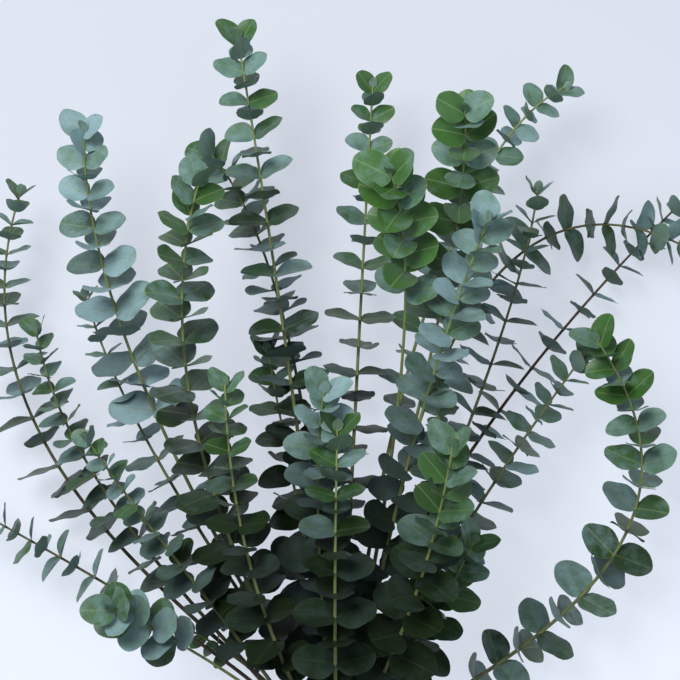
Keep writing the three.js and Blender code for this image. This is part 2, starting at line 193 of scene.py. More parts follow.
class TieSizes(PropertyGroup):
    """Sizes of the twine tie"""

    twine: length("Twine", "Diameter of the twine", 2.2 * MM)
    turns: IntProperty(name="Turns", description="Turns round the stems", default=6, min=1)
    strands: IntProperty(name="Strands", description="Strands twisted together", default=3, min=2)
    lay: length("Lay", "Length of one full twist of the strands", 8 * MM)


class PlantColours(PropertyGroup):
    """Colours of the plant, the twine and the floor"""

    deep_green: colour("Deep green", "Full-grown leaf where the wax is rubbed off", "#1f3418")
    grey_green: colour("Grey green", "Full-grown leaf under thin wax", "#44604a")
    wax_blue: colour("Wax blue", "Leaf under thick wax", "#7f9da4")
    young_green: colour("Young green", "Freshly opened leaf", "#386426")
    # Darkest green: painted shade for the leaves deep in the bunch, and the tone of leaves rubbed bare
    # of wax.
    shade_and_rubbed_green: colour("Old green", "Oldest leaf, in the shade of the others", "#101a0a")
    underside: colour("Underside", "Paler lower face of a leaf", "#5d7468")
    rib: colour("Rib", "Middle rib, veins and rim", "#7b8f62")
    blemish: colour("Blemish", "Dry specks, and dark fibres of the twine", "#57492f")
    green_stem: colour("Green stem", "Young stem", "#6f8048")
    brown_stem: colour("Brown stem", "Woody stem", "#46392b")
    cut_wood: colour("Cut wood", "Freshly cut stem end", "#d9cfa0")
    twine: colour("Twine", "Jute twine", "#b3925c")
    floor: colour("Floor", "Matt paper that the bunch lies on", "#dde4f0")


class BunchSettings(PropertyGroup):
    """Everything that a user would change"""

    stem: PointerProperty(type=StemSizes)
    leaf: PointerProperty(type=LeafSizes)
    tie: PointerProperty(type=TieSizes)
    colours: PointerProperty(type=PlantColours)


# ---- Growth: where stems and leaves go ----

SCATTER = (12.9898, 78.233, 43758.5453)  # unrelated numbers, so that vary() has no pattern
PATH_STEPS = 72
TIP_FOLD_LENGTH = 26 * MM  # over which the folding up of young leaves dies away
BUD_TO_TIP = 0.6 * MM
BUD_SHARE = 0.3
BUD_RISE = math.radians(22)
SETTLING_TURNS = 12
STEM_ROOM = 3 * MM  # kept between a leaf and the middle of another branch's stem
SWAYS = (0, 12, -12, 24, -24, 36, -36, 50, -50)  # degrees that a leaf may give way by
RUBBED_BARE = 0.6  # how dark the few leaves are that have lost their wax
# Painted shade: grown leaves in an oval round the middle of the bunch are darkened in their colour,
# most in its core and fading out towards its rim.
SHADE_MIDDLE = (-12, 130)  # mm from the tie's middle
SHADE_HALF_SIZE = (165, 300)
SHADE_CORE = 0.4  # how far out the darkest part reaches, as a share of that size
SHADE_RIM = 1.05
# How far a leaf may differ, either way, from what its branch and its place on it give.
TURN_SPREAD = 14  # degrees
RISE_SPREAD = math.radians(9)
OPEN_SPREAD = 0.5
LENGTH_SPREAD = 0.08
BLOOM_SPREAD = 0.42
VIVID_SPREAD = 0.15
OLD_VIVID = 0.25  # how much of its branch's vivid green a full-grown leaf keeps
# A leaf's outline, as shares of its width and length.
LEAF_CORNERS = ((0, 0), (0.5, 0.25), (0.5, 0.75), (0, 1), (-0.5, 0.75), (-0.5, 0.25))


def vary(branch, use):
    """A repeatable number from -1 to 1 that differs for each branch and each use."""
    wave = math.sin(branch * SCATTER[0] + use * SCATTER[1]) * SCATTER[2]
    return 2 * (wave - math.floor(wave)) - 1


def smooth_step(value, low, high):
    """0 up to low, 1 from high on, and a smooth rise between them."""
    share = min(1, max(0, (value - low) / (high - low)))
    return share * share * (3 - 2 * share)


def from_tie(millimetres):
    """A point given in millimetres from the tie's middle, at the height of the floor."""
    return Vector(millimetres) * MM + Vector((TIE_MIDDLE.x, TIE_MIDDLE.y, 0))


def place_in_bundle(branch):
    """The middle of a branch's stem, halfway along the tie."""
    ring = STEM_RINGS[branch["ring"]]
    angle = math.radians(ring["start"] + 360 * branch["place"] / ring["stems"])
    return TIE_MIDDLE + ring["radius"] * Vector((math.cos(angle), 0, math.sin(angle)))


def painted_shade_in_bunch(point):
    """How much painted shade a leaf takes: 1 in the shaded middle of the bunch, down to 0 at its open
    sides.
    """
    across = ((point.x - TIE_MIDDLE.x) / MM - SHADE_MIDDLE[0]) / SHADE_HALF_SIZE[0]
    along = ((point.y - TIE_MIDDLE.y) / MM - SHADE_MIDDLE[1]) / SHADE_HALF_SIZE[1]
    return 1 - smooth_step(math.hypot(across, along), SHADE_CORE, SHADE_RIM)


class StemPath:
    """A stem's leafy curve, with the distance of each point from where it starts to bend."""

    def __init__(self, branch):
        place = place_in_bundle(branch)
        self.bend = place + Vector((0, BENDING_STARTS, 0))
        corners = [self.bend] + [from_tie(branch[key]) for key in ("rise", "swing", "tip")]
        self.points = [self.on_curve(corners, i / PATH_STEPS) for i in range(PATH_STEPS + 1)]
        self.travelled = [0]
        for before, after in zip(self.points, self.points[1:]):
            self.travelled.append(self.travelled[-1] + (after - before).length)
        self.length = self.travelled[-1]

    @staticmethod
    def on_curve(corners, t):
        shares = ((1 - t) ** 3, 3 * t * (1 - t) ** 2, 3 * t * t * (1 - t), t ** 3)
        return sum((corner * share for corner, share in zip(corners, shares)), Vector())

    def at(self, distance):
        """The point and the direction of the stem at a distance along its curve."""
        i = 1
        while i < PATH_STEPS and self.travelled[i] < distance:
            i += 1
        before, after = self.points[i - 1], self.points[i]
        share = (distance - self.travelled[i - 1]) / (self.travelled[i] - self.travelled[i - 1])
        return before.lerp(after, share), (after - before).normalized()


def leaf_axes(along, angle, rise, openness):
    """A leaf's axes: across its width, from base to tip, and out of its upper face."""
    side = along.cross(UP).normalized()
    upper = side.cross(along)
    outward = side * math.cos(angle) + upper * math.sin(angle)
    reach = outward * math.cos(rise) + along * math.sin(rise)
    face = along * math.cos(rise) - outward * math.sin(rise)
    lightward = UP - reach * UP.dot(reach)
    face = (face + lightward * openness).normalized()
    return reach.cross(face), reach, face


def lowest_point(seat):
    """Height over the floor of a leaf's lowest corner."""
    across, reach, _ = seat["axes"]
    return min(seat["point"].z + u * seat["width"] * across.z + v * seat["length"] * reach.z
               for u, v in LEAF_CORNERS)


def settle(seat, along, rise, openness):
    """Turns a leaf that would reach below the floor round its stem until it only touches it."""
    start = seat["angle"]
    level = round(start / math.pi) * math.pi
    for turn in range(1, SETTLING_TURNS + 1):
        if lowest_point(seat) >= 0:
            break
        angle = start + (level - start) * turn / SETTLING_TURNS
        seat["axes"] = leaf_axes(along, angle, rise, openness)
    return seat


def is_pierced(seat, others):
    """Whether the stem of another branch passes through a leaf, or brushes it."""
    across, reach, face = seat["axes"]
    middle = seat["point"] + reach * seat["length"] / 2
    half_width = seat["width"] / 2 + STEM_ROOM
    half_length = seat["length"] / 2 + STEM_ROOM
    for path in others:
        longest_step = path.length / PATH_STEPS * 2
        for before, after in zip(path.points, path.points[1:]):
            if (before - middle).length > half_length + longest_step:
                continue
            low, high = face.dot(before - middle), face.dot(after - middle)
            if low * high > 0 and min(abs(low), abs(high)) > STEM_ROOM:
                continue
            share = min(1, max(0, low / (low - high))) if low != high else 0
            crossing = before.lerp(after, share) - middle
            sideways, lengthways = crossing.dot(across), crossing.dot(reach)
            if math.hypot(sideways / half_width, lengthways / half_length) < 1:
                return True
    return False


def give_way(seat, along, rise, openness, others):
    """Turns a leaf round its stem, as little as it can, so that no other stem is in it.

    False if none of the turns will do.
    """
    start = seat["angle"]
    for sway in SWAYS:
        seat["angle"] = (start + math.radians(sway)) % (2 * math.pi)
        seat["axes"] = leaf_axes(along, seat["angle"], rise, openness)
        if not is_pierced(settle(seat, along, rise, openness), others):
            return True
    return False


def pair_distances(branch, path, sizes):
    """How far below the tip each leaf pair grows; the first one is the folded bud."""
    distances = [BUD_TO_TIP, sizes.top_pair]
    while True:
        grown = smooth_step(distances[-1], 0, sizes.young_shoot)
        lower = distances[-1] + sizes.tip_gap + (sizes.full_gap - sizes.tip_gap) * grown
        if path.length - lower <= branch["bare"] * MM:
            return distances
        distances.append(lower)


def leaf_seats(branch, number, paths, sizes):
    """Every leaf of one branch, from its tip down to its bare stem."""
    path = paths[number - 1]
    others = paths[:number - 1] + paths[number:]
    seats = []
    for pair, from_tip in enumerate(pair_distances(branch, path, sizes), -1):
        grown = smooth_step(from_tip, 0, sizes.young_shoot)
        point, along = path.at(path.length - from_tip)
        for half in (0, 1):
            use = 10 * pair + 5 * half
            turn = branch["turn"] + 90 * pair + 180 * half + TURN_SPREAD * vary(number, use + 2)
            fold = sizes.tip_rise * math.exp(-from_tip / TIP_FOLD_LENGTH)
            rise = sizes.rise + fold + RISE_SPREAD * vary(number, use + 3)
            tip_open, base_open = branch["open"]
            openness = tip_open + (base_open - tip_open) * grown
            openness *= 1 + OPEN_SPREAD * vary(number, use + 4)
            share = branch["top"] + (1 - branch["top"]) * grown
            if pair < 0:
                rise += BUD_RISE
                openness = 0
                share = BUD_SHARE
            leaf_length = branch["leaf"] * MM * share
            leaf_length *= 1 + LENGTH_SPREAD * vary(number, use + 5)
            rounding = sizes.young_width + (1 - sizes.young_width) * grown
            width = leaf_length * sizes.width_share * rounding
            # A few grown leaves, picked at random, are rubbed bare and dark; grown leaves deep in the
            # bunch take painted shade. The leaf keeps the stronger darkening of the two.
            rubbed = RUBBED_BARE * grown * smooth_step(vary(number, use + 9), 0.1, 0.9)
            seat = {
                "point": point, "angle": math.radians(turn % 360), "length": leaf_length,
                "width": width, "young": 1 - grown, "use": use, "from_tip": from_tip,
                "shade_and_rubbed": max(rubbed, min(1, 2 * grown) * painted_shade_in_bunch(point)),
            }
            if pair < 0:
                seat["axes"] = leaf_axes(along, seat["angle"], rise, openness)
                seats.append(settle(seat, along, rise, openness))
            elif give_way(seat, along, rise, openness, others):
                seats.append(seat)
    return seats


def grown_branches(sizes):
    """Every branch: its number, its row of the table, its stem's path and its leaves' seats."""
    paths = [StemPath(branch) for branch in BRANCHES]
    for number, branch in enumerate(BRANCHES, 1):
        yield number, branch, paths[number - 1], leaf_seats(branch, number, paths, sizes)


# ---- Small helpers ----


def add_node(tree, kind, sockets=None, **settings):
    """Adds a node, sets its settings, and fills its sockets with values or links.

    A node given as a value is linked from its first output, and a numbered socket is counted
    from 0. Both counts leave out the sockets that the node's settings put out of use.
    """
    node = tree.nodes.new(kind)
    for name, value in settings.items():
        setattr(node, name, value)
    in_use = [socket for socket in node.inputs if socket.enabled]
    for key, value in (sockets or {}).items():
        socket = in_use[key] if isinstance(key, int) else node.inputs[key]
        if isinstance(value, bpy.types.Node):
            value = next(output for output in value.outputs if output.enabled)
        if isinstance(value, bpy.types.NodeSocket):
            tree.links.new(value, socket)
        else:
            socket.default_value = value
    return node


def new_tree(name, inputs):
    """A geometry node tree with a mesh in, a mesh out, and the named inputs."""
    tree = bpy.data.node_groups.new(name, "GeometryNodeTree")
    tree.interface.new_socket("Geometry", in_out="INPUT", socket_type="NodeSocketGeometry")
    for socket_name, socket_type in inputs:
        tree.interface.new_socket(socket_name, in_out="INPUT", socket_type=socket_type)
    tree.interface.new_socket("Geometry", in_out="OUTPUT", socket_type="NodeSocketGeometry")
    return tree, add_node(tree, "NodeGroupInput").outputs


def grow(name, mesh, tree, values):
    """Runs a node tree on a mesh once and returns the result as a plain object."""
    thing = bpy.data.objects.new(name, mesh)
    bpy.context.scene.collection.objects.link(thing)
    modifier = thing.modifiers.new(tree.name, "NODES")
    modifier.node_group = tree
    for item in tree.interface.items_tree:
        if item.in_out == "INPUT" and item.name in values:
            modifier[item.identifier] = values[item.name]
    depsgraph = bpy.context.evaluated_depsgraph_get()
    grown = bpy.data.meshes.new_from_object(thing.evaluated_get(depsgraph), depsgraph=depsgraph)
    grown.name = name
    thing.modifiers.clear()
    thing.data = grown
    return thing


def hand_over(piece, node):
    """Hangs a piece on the frame's root body and hides the frame part of the given name."""
    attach(piece, "root")
    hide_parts(node)


def point_attribute(mesh, name, values, kind="FLOAT"):
    """Stores one value, or one vector, for each vertex of a mesh."""
    attribute = mesh.attributes.new(name, kind, "POINT")
    if kind == "FLOAT_VECTOR":
        attribute.data.foreach_set("vector", [part for value in values for part in value])
    else:
        attribute.data.foreach_set("value", values)


# ---- Stems ----

STEM_STEP = 7 * MM
CLOSEST_STEP = 0.4 * MM
# The swelling where a leaf pair grows: mm along the stem, and the share of the full swelling.
SWELLING_PROFILE = ((-1.6, 0.15), (0, 1), (1.6, 0.15))
# The cut end and the rounded tip: mm beyond the stem's last point, and the share of its radius.
CUT_PROFILE = ((0.10, 0.93), (0.16, 0.6), (0.18, 0.25), (0.19, 0.02))
TIP_PROFILE = ((0.3, 0.85), (0.55, 0.5), (0.65, 0.1))
MOSTLY_CUT = 0.75  # a face is cut wood where the cut attribute is over this


def stem_stations(number, path, seats, sizes):
    """Points from cut end to tip, each with its distance from the bend, its radius and its age."""
    straight = CUT_LENGTH - CUT_SPREAD * vary(number, 1) + BENDING_STARTS
    total = straight + path.length
    places = {round(-straight + STEM_STEP * i, 6): 0 for i in range(int(total / STEM_STEP) + 1)}
    places[round(path.length, 6)] = 0
    for seat in seats[2:]:  # all but the bud's two leaves
        centre = path.length - seat["from_tip"]
        for step, share in SWELLING_PROFILE:
            places[round(centre + step * MM, 6)] = share
    stations = []
    for distance, swelling in sorted(places.items()):
        if stations and distance - stations[-1]["distance"] < CLOSEST_STEP:
            continue
        if distance < 0:
            point = path.bend + Vector((0, distance, 0))
        else:
            point = path.at(min(distance, path.length))[0]
        age = 1 - (distance + straight) / total
        radius = sizes.tip_radius + (sizes.base_radius - sizes.tip_radius) * age
        radius *= 1 + sizes.swelling * swelling
        stations.append({"point": point, "distance": distance, "radius": radius,
                         "age": age, "cut": 0})
    return stations


def with_ends(stations):
    """Adds a flat cut face at the base and a rounded end at the tip."""
    base, tip = stations[0], stations[-1]
    outward = (base["point"] - stations[1]["point"]).normalized()
    onward = (tip["point"] - stations[-2]["point"]).normalized()
    cut = [dict(base, point=base["point"] + outward * step * MM, radius=base["radius"] * share,
                cut=1) for step, share in reversed(CUT_PROFILE)]
    end = [dict(tip, point=tip["point"] + onward * step * MM, radius=tip["radius"] * share)
           for step, share in TIP_PROFILE]
    return cut + stations + end


def stem_line(line_name, stations, wood):
    mesh = bpy.data.meshes.new(line_name)
    edges = [(i, i + 1) for i in range(len(stations) - 1)]
    mesh.from_pydata([station["point"] for station in stations], edges, [])
    for name, key in (("width", "radius"), ("age", "age"), ("cut", "cut")):
        point_attribute(mesh, name, [float(station[key]) for station in stations])
    point_attribute(mesh, "wood", [wood] * len(stations))
    return mesh


def swept_tree():
    """Sweeps a round section along a line of points; its radius is the width attribute."""
    tree, inputs = new_tree("Swept stem", (
        ("Sides", "NodeSocketInt"), ("Bark", "NodeSocketMaterial"), ("Cut", "NodeSocketMaterial"),
    ))
    width = add_node(tree, "GeometryNodeInputNamedAttribute", {"Name": "width"}, data_type="FLOAT")
    cut = add_node(tree, "GeometryNodeInputNamedAttribute", {"Name": "cut"}, data_type="FLOAT")
    line = add_node(tree, "GeometryNodeMeshToCurve", {"Mesh": inputs["Geometry"]})
    section = add_node(tree, "GeometryNodeCurvePrimitiveCircle", {
        "Resolution": inputs["Sides"], "Radius": 1.0,
    })
    swept = add_node(tree, "GeometryNodeCurveToMesh", {
        "Curve": line, "Profile Curve": section, "Scale": width, "Fill Caps": True,
    })
    smooth = add_node(tree, "GeometryNodeSetShadeSmooth", {"Geometry": swept})
    real = add_node(tree, "GeometryNodeRealizeInstances", {"Geometry": smooth})
    barked = add_node(tree, "GeometryNodeSetMaterial", {"Geometry": real, "Material": inputs["Bark"]})
    is_cut = add_node(tree, "FunctionNodeCompare", {0: cut, 1: MOSTLY_CUT},
                      data_type="FLOAT", operation="GREATER_THAN")
    done = add_node(tree, "GeometryNodeSetMaterial", {
        "Geometry": barked, "Selection": is_cut, "Material": inputs["Cut"],
    })
    add_node(tree, "NodeGroupOutput", {"Geometry": done})
    return tree


# ---- Leaves ----

LEAF_STEPS = 6
LEAF_CLEARANCE = 0.2 * MM  # between the floor and a leaf that rests on it
# How each leaf shape bends, as shares of its length: cup lifts both sides, droop lowers the
# tip, wave ruffles the rim, twist lifts one side, point sharpens the tip.
LEAF_SHAPES = (
    dict(cup=0.10, droop=0.05, wave=0.016, twist=0.02, point=0.03),
    dict(cup=0.04, droop=-0.05, wave=0.024, twist=-0.05, point=0.05),
    dict(cup=0.14, droop=0.10, wave=0.010, twist=0.05, point=0.0),
    dict(cup=-0.03, droop=0.08, wave=0.026, twist=0.0, point=0.03),
    dict(cup=0.08, droop=-0.02, wave=0.018, twist=0.07, point=0.02),
)
BASE_LOBE = 0.06  # how far the blade reaches back on both sides of its base
EGG_SHAPE = 0.10  # how much broader it is below its middle than above
POINT_START = 0.8  # how far along it the point starts
RUFFLES = 5


def leaf_height(shape, across, along, from_middle, angle):
    """Height of the blade's middle surface; the cup also sets where the ruffles start."""
    ruffle = shape["wave"] * from_middle ** 4 * math.sin(RUFFLES * angle + 20 * shape["cup"])
    lift = shape["cup"] * (2 * across) ** 2 + shape["twist"] * 2 * across * along
    return lift - shape["droop"] * along ** 2 + ruffle


def leaf_mesh(name, shape, thickness):
    """One closed leaf, one unit long and wide, with its base at the origin and its tip at +Y."""
    vertices, places, faces, under = [], [], [], []
    index = {}

    def vertex(column, row, lower):
        rim = column in (0, LEAF_STEPS) or row in (0, LEAF_STEPS)
        key = (column, row, lower and not rim)
        if key not in index:
            u = 2 * column / LEAF_STEPS - 1
            v = 2 * row / LEAF_STEPS - 1
            x = u * math.sqrt(1 - v * v / 2)
            y = v * math.sqrt(1 - u * u / 2)
            middle = x * x + y * y
            along = (1 + y) / 2
            across = x / 2 * (1 + EGG_SHAPE * (1 - y * y) * (0.5 - along))
            back = BASE_LOBE * abs(x) * (1 - along) ** 3
            tip = shape["point"] * (1 - abs(x)) * smooth_step(along, POINT_START, 1)
            height = leaf_height(shape, across, along, math.sqrt(middle), math.atan2(y, x))
            half = thickness / 2 * math.sqrt(max(0, 1 - middle))
            index[key] = len(vertices)
            vertices.append((across, along - back + tip, height + (-half if key[2] else half)))
            places.append((x, along, middle))
        return index[key]

    for column in range(LEAF_STEPS):
        for row in range(LEAF_STEPS):
            for lower in (False, True):
                ring = [vertex(column, row, lower), vertex(column + 1, row, lower),
                        vertex(column + 1, row + 1, lower), vertex(column, row + 1, lower)]
                faces.append([ring[i] for i in (0, 3, 2, 1)] if lower else ring)
                under.append(1.0 if lower else 0.0)
    mesh = bpy.data.meshes.new(name)
    mesh.from_pydata(vertices, [], faces)
    mesh.polygons.foreach_set("use_smooth", [True] * len(faces))
    point_attribute(mesh, "leaf_place", places, "FLOAT_VECTOR")
    mesh.attributes.new("underside", "FLOAT", "FACE").data.foreach_set("value", under)
    sharp = mesh.attributes.new("sharp_edge", "BOOLEAN", "EDGE")
    rim = [all(places[v][2] > 0.999 for v in edge.vertices) for edge in mesh.edges]
    sharp.data.foreach_set("value", rim)
    mesh.update()
    return mesh


def leaf_collection(thickness):
    """The leaf shapes, kept out of the scene for the node tree to copy."""
    shapes = bpy.data.collections.new("Leaf shapes")
    for number, shape in enumerate(LEAF_SHAPES):
        name = f"leaf_shape_{number}"
        shapes.objects.link(bpy.data.objects.new(name, leaf_mesh(name, shape, thickness)))
    return shapes


def leaf_points(name, branch, number, seats):
    """One vertex for each leaf, with everything that the node tree needs to place it."""
    mesh = bpy.data.meshes.new(name)
    mesh.from_pydata([seat["point"] for seat in seats], [], [])
    point_attribute(mesh, "reach", [seat["axes"][1] for seat in seats], "FLOAT_VECTOR")
    point_attribute(mesh, "face", [seat["axes"][2] for seat in seats], "FLOAT_VECTOR")
    size = [(seat["width"], seat["length"], seat["length"]) for seat in seats]
    point_attribute(mesh, "size", size, "FLOAT_VECTOR")
    shape = [int(len(LEAF_SHAPES) * (vary(number, seat["use"] + 6) + 1) / 2) for seat in seats]
    point_attribute(mesh, "shape", shape, "INT")
    bloom = [branch["bloom"] + BLOOM_SPREAD * vary(number, seat["use"] + 7) for seat in seats]
    point_attribute(mesh, "bloom", bloom)
    vivid = [(branch["vivid"] + VIVID_SPREAD * vary(number, seat["use"] + 8))
             * (OLD_VIVID + (1 - OLD_VIVID) * seat["young"] ** 0.5) for seat in seats]
    point_attribute(mesh, "vivid", vivid)
    point_attribute(mesh, "young", [seat["young"] for seat in seats])
    # Painted shade and rubbed-bare darkening of each leaf.
    point_attribute(mesh, "shade_and_rubbed", [seat["shade_and_rubbed"] for seat in seats])
    return mesh


def leafy_tree():
    """Puts a leaf on every point, turned and sized by its attributes, and none below the floor."""
    tree, inputs = new_tree("Leaf pairs", (
        ("Leaf shapes", "NodeSocketCollection"), ("Leaf", "NodeSocketMaterial"),
        ("Floor", "NodeSocketFloat"), ("Seed", "NodeSocketInt"),
    ))
    named = {
        name: add_node(tree, "GeometryNodeInputNamedAttribute", {"Name": name}, data_type=kind)
        for name, kind in (("reach", "FLOAT_VECTOR"), ("face", "FLOAT_VECTOR"),
                           ("size", "FLOAT_VECTOR"), ("shape", "INT"))
    }
    shapes = add_node(tree, "GeometryNodeCollectionInfo", {
        "Collection": inputs["Leaf shapes"], "Separate Children": True, "Reset Children": True,
    })
    turned = add_node(tree, "FunctionNodeAxesToRotation", {
        "Primary Axis": named["face"], "Secondary Axis": named["reach"],
    }, primary_axis="Z", secondary_axis="Y")
    leaves = add_node(tree, "GeometryNodeInstanceOnPoints", {
        "Points": inputs["Geometry"], "Instance": shapes, "Pick Instance": True,
        "Instance Index": named["shape"], "Rotation": turned, "Scale": named["size"],
    })
    chance = add_node(tree, "FunctionNodeRandomValue", {"Seed": inputs["Seed"]}, data_type="FLOAT")
    marked = add_node(tree, "GeometryNodeStoreNamedAttribute", {
        "Geometry": leaves, "Name": "chance", "Value": chance,
    }, data_type="FLOAT", domain="INSTANCE")
    real = add_node(tree, "GeometryNodeRealizeInstances", {"Geometry": marked})
    place = add_node(tree, "GeometryNodeInputPosition")
    x, y, z = add_node(tree, "ShaderNodeSeparateXYZ", {"Vector": place}).outputs
    lifted = add_node(tree, "ShaderNodeMath", {0: z, 1: inputs["Floor"]}, operation="MAXIMUM")
    rested = add_node(tree, "ShaderNodeCombineXYZ", {"X": x, "Y": y, "Z": lifted})
    laid = add_node(tree, "GeometryNodeSetPosition", {"Geometry": real, "Position": rested})
    done = add_node(tree, "GeometryNodeSetMaterial", {"Geometry": laid, "Material": inputs["Leaf"]})
    add_node(tree, "NodeGroupOutput", {"Geometry": done})
    return tree


# ---- Materials ----

# The size of each pattern on the real surfaces. In the nodes below, sockets 1 and 2 of a Map
# Range are the range that it reads, and 3 and 4 the range that it gives.
WAX_PATCH = 12 * MM
WAX_GRAIN = 1.1 * MM
SPECK_SPACING = 6.5 * MM
BARK_MOTTLE = 6 * MM
BARK_FISSURE = 0.7 * MM
WOOD_FIBRE = 0.45 * MM
JUTE_FIBRE = 0.55 * MM

VEINS_PER_LEAF = 8.0
VEIN_SLANT = -0.34  # how far a vein has moved towards the tip where it reaches the rim
PAPER_DIMMING = 0.3  # how much light the paper throws back, next to the light through it
NEAR_EDGE = -0.25  # from here to the far edge, along Y, the paper's glow falls off
FAR_EDGE = 0.45
NEAR_GLOW = 0.85
FAR_GLOW = 0.60


def new_material(name):
    """An empty material, its node tree, and the object coordinates that patterns lie in."""
    material = bpy.data.materials.new(name)
    material.use_nodes = True
    tree = material.node_tree
    tree.nodes.clear()
    return material, tree, add_node(tree, "ShaderNodeTexCoord").outputs["Object"]


def leaf_material(colours):
    """Waxy leaf blade: deep green where rubbed, blue-grey where the powdery wax is thick."""
    material, tree, place = new_material("waxy_leaf_blade")
    underside, bloom, vivid, young, shade_and_rubbed, chance = (
        add_node(tree, "ShaderNodeAttribute", attribute_name=name).outputs["Fac"]
        for name in ("underside", "bloom", "vivid", "young", "shade_and_rubbed", "chance")
    )
    leaf_place = add_node(tree, "ShaderNodeAttribute", attribute_name="leaf_place")
    across, along, outward = add_node(tree, "ShaderNodeSeparateXYZ", {
        0: leaf_place.outputs["Vector"],
    }).outputs
    side = add_node(tree, "ShaderNodeMath", {0: across}, operation="ABSOLUTE")

    # The wax lies in patches, with a fine powdery grain.
    patches = add_node(tree, "ShaderNodeTexNoise", {
        "Vector": place, "Scale": 1 / WAX_PATCH, "Detail": 3.0, "Roughness": 0.6,
    })
    grain = add_node(tree, "ShaderNodeTexNoise", {
        "Vector": place, "Scale": 1 / WAX_GRAIN, "Detail": 2.0, "Roughness": 0.6,
    })
    patchy = add_node(tree, "ShaderNodeMapRange", {0: patches, 1: 0.3, 2: 0.7, 3: -0.28, 4: 0.28})
    grainy = add_node(tree, "ShaderNodeMapRange", {0: grain, 1: 0.3, 2: 0.7, 3: -0.1, 4: 0.1})
    wax = add_node(tree, "ShaderNodeMath", {0: bloom, 1: patchy}, operation="ADD")
    wax = add_node(tree, "ShaderNodeMath", {0: wax, 1: grainy}, operation="ADD", use_clamp=True)

    # The middle rib is about 1 mm wide; side veins leave it every 4 mm and lean forward. The
    # rim is pale too.
    rib = add_node(tree, "ShaderNodeMapRange", {0: side, 1: 0.06, 2: 0.015, 4: 0.5})
    slant = add_node(tree, "ShaderNodeMath", {0: side, 1: VEIN_SLANT, 2: along},
                     operation="MULTIPLY_ADD")
    spaced = add_node(tree, "ShaderNodeMath", {0: slant, 1: VEINS_PER_LEAF}, operation="MULTIPLY")
    saw = add_node(tree, "ShaderNodeMath", {0: spaced, 1: 0.5}, operation="PINGPONG")
    veins = add_node(tree, "ShaderNodeMapRange", {0: saw, 1: 0.07, 2: 0.0, 4: 0.14})
    lines = add_node(tree, "ShaderNodeMath", {0: rib, 1: veins}, operation="MAXIMUM")
    edge = add_node(tree, "ShaderNodeMapRange", {0: outward, 1: 0.88, 2: 1.0, 4: 0.3})
    pale = add_node(tree, "ShaderNodeMath", {0: lines, 1: edge}, operation="MAXIMUM")

    # Dry specks about 1 mm across, a few to a leaf.
    specks = add_node(tree, "ShaderNodeTexVoronoi", {"Vector": place, "Scale": 1 / SPECK_SPACING})
    speck = add_node(tree, "ShaderNodeMapRange", {0: specks, 1: 0.11, 2: 0.06, 4: 0.55})

    # The green runs from deep to grey from leaf to leaf, and the rest is laid over it in turn.
    # A young leaf is brighter. Grown leaves deep in the bunch take painted shade, and a few rubbed
    # bare of wax are dark too.
    fresh = add_node(tree, "ShaderNodeMath", {0: young, 1: 0.45}, operation="MULTIPLY")
    below = add_node(tree, "ShaderNodeMath", {0: underside, 1: 0.6}, operation="MULTIPLY")
    # Painted shade and the rubbed-bare darkening turn the leaf towards its darkest green.
    shade_and_rubbed_amount = add_node(tree, "ShaderNodeMath", {0: shade_and_rubbed, 1: 0.88}, operation="MULTIPLY")
    blade = colours.deep_green
    for amount, layer in (
        (chance, colours.grey_green), (vivid, colours.young_green), (fresh, colours.young_green),
        (wax, colours.wax_blue), (below, colours.underside), (pale, colours.rib),
        (shade_and_rubbed_amount, colours.shade_and_rubbed_green), (speck, colours.blemish),
    ):
        blade = add_node(tree, "ShaderNodeMix", {0: amount, 1: blade, 2: layer}, data_type="RGBA")

    # Wax is dull, and leaves under painted shade, and those rubbed bare, shine least.
    dull = add_node(tree, "ShaderNodeMapRange", {0: wax, 3: 0.42, 4: 0.72})
    shine = add_node(tree, "ShaderNodeMapRange", {0: shade_and_rubbed, 3: 0.45, 4: 0.12})
    relief = add_node(tree, "ShaderNodeMath", {0: grain, 1: 0.25, 2: lines},
                      operation="MULTIPLY_ADD")
    bump = add_node(tree, "ShaderNodeBump", {
        "Strength": 0.35, "Distance": 0.25 * MM, "Height": relief,
    })
    shader = add_node(tree, "ShaderNodeBsdfPrincipled", {
        "Base Color": blade, "Roughness": dull, "Normal": bump, "Specular IOR Level": shine,
    })
    add_node(tree, "ShaderNodeOutputMaterial", {"Surface": shader})
    return material


def bark_material(colours):
    """Eucalyptus bark: smooth yellow-green skin that turns brown and fissured with age."""
    material, tree, place = new_material("smooth_green_bark")
    age, wood = (add_node(tree, "ShaderNodeAttribute", attribute_name=name).outputs["Fac"]
                 for name in ("age", "wood"))
    mottle = add_node(tree, "ShaderNodeTexNoise", {
        "Vector": place, "Scale": 1 / BARK_MOTTLE, "Detail": 4.0, "Roughness": 0.65,
    })
    fine = add_node(tree, "ShaderNodeTexNoise", {
        "Vector": place, "Scale": 1 / BARK_FISSURE, "Detail": 2.0, "Roughness": 0.5,
    })
    older = add_node(tree, "ShaderNodeMath", {0: age, 1: 0.7, 2: wood}, operation="MULTIPLY_ADD")
    uneven = add_node(tree, "ShaderNodeMath", {0: mottle, 1: 0.9, 2: older}, operation="MULTIPLY_ADD")
    brown = add_node(tree, "ShaderNodeMapRange", {0: uneven, 1: 0.62, 2: 1.35})
    skin = add_node(tree, "ShaderNodeMix", {
        0: brown, 1: colours.green_stem, 2: colours.brown_stem,
    }, data_type="RGBA")
    rough = add_node(tree, "ShaderNodeMapRange", {0: brown, 3: 0.5, 4: 0.8})
    bump = add_node(tree, "ShaderNodeBump", {"Strength": 0.5, "Distance": 0.2 * MM, "Height": fine})
    shader = add_node(tree, "ShaderNodeBsdfPrincipled", {
        "Base Color": skin, "Roughness": rough, "Normal": bump, "IOR": 1.5,
    })
    add_node(tree, "ShaderNodeOutputMaterial", {"Surface": shader})
    return material


